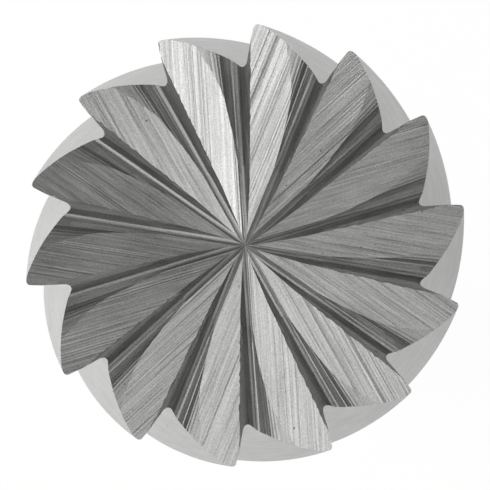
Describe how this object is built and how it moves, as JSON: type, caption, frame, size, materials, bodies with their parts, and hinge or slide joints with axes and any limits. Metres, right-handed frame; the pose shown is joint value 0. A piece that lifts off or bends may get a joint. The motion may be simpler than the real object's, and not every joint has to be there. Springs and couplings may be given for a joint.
{
  "type": "cylindrical carbide burr with end teeth",
  "caption": "Cylindrical rotary burr: a fluted carbide head with side and end cutting teeth, brazed to a plain steel shank.",
  "frame": {"origin": "centre of the shank's free end, on the surface that the burr stands on", "axes": "+Z along the axis from the shank to the cutting end; the teeth are turned about +Z as the picture shows them with +X to the right and +Y up"},
  "size_m": [0.0126, 0.0126, 0.07],
  "materials": {
    "ground_carbide": "ground, with grinding lines along each tooth",
    "silver_braze": "satin, as it flowed",
    "ground_steel": "fine cylindrical grind"
  },
  "bodies": {
    "root": {"carbide_head": "ground_carbide", "braze_joint": "silver_braze", "steel_shank": "ground_steel"}
  },
  "joints": []
}
